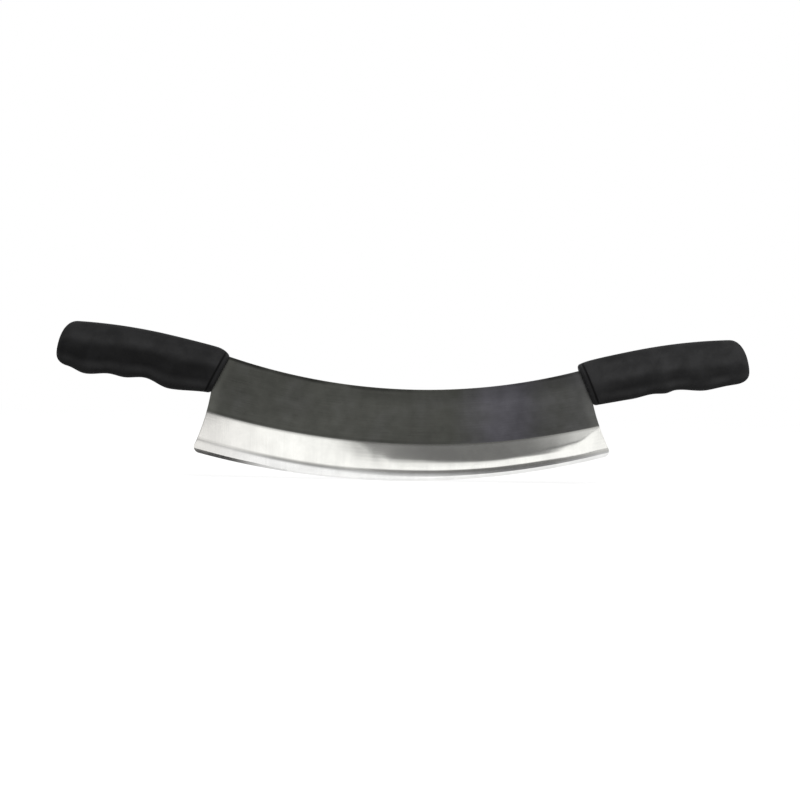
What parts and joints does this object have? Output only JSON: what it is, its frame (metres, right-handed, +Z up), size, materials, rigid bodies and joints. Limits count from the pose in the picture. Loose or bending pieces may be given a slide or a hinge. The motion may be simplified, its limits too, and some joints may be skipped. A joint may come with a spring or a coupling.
{
  "type": "mezzaluna knife",
  "caption": "Curved rocking knife with a hollow-ground blade and a soft-gripped handle at each end, held with both hands to mince herbs and vegetables.",
  "frame": {"origin": "under the middle of the knife, in the blade's middle plane, level with the lowest point of the cutting edge", "axes": "+X along the knife to the picture's right, +Y away from the viewer through the blade's thickness, +Z up from the cutting edge to the back"},
  "size_m": [0.5096, 0.026, 0.1129],
  "materials": {
    "blade_steel": "fine satin, lengthwise on the flats and bright on the ground band",
    "core_plastic": "moulded, smooth satin",
    "grip_rubber": "moulded, fine matt grain"
  },
  "bodies": {
    "root": {"blade": "blade_steel", "left_handle_core": "core_plastic", "left_grip": "grip_rubber", "right_handle_core": "core_plastic", "right_grip": "grip_rubber"}
  },
  "joints": []
}
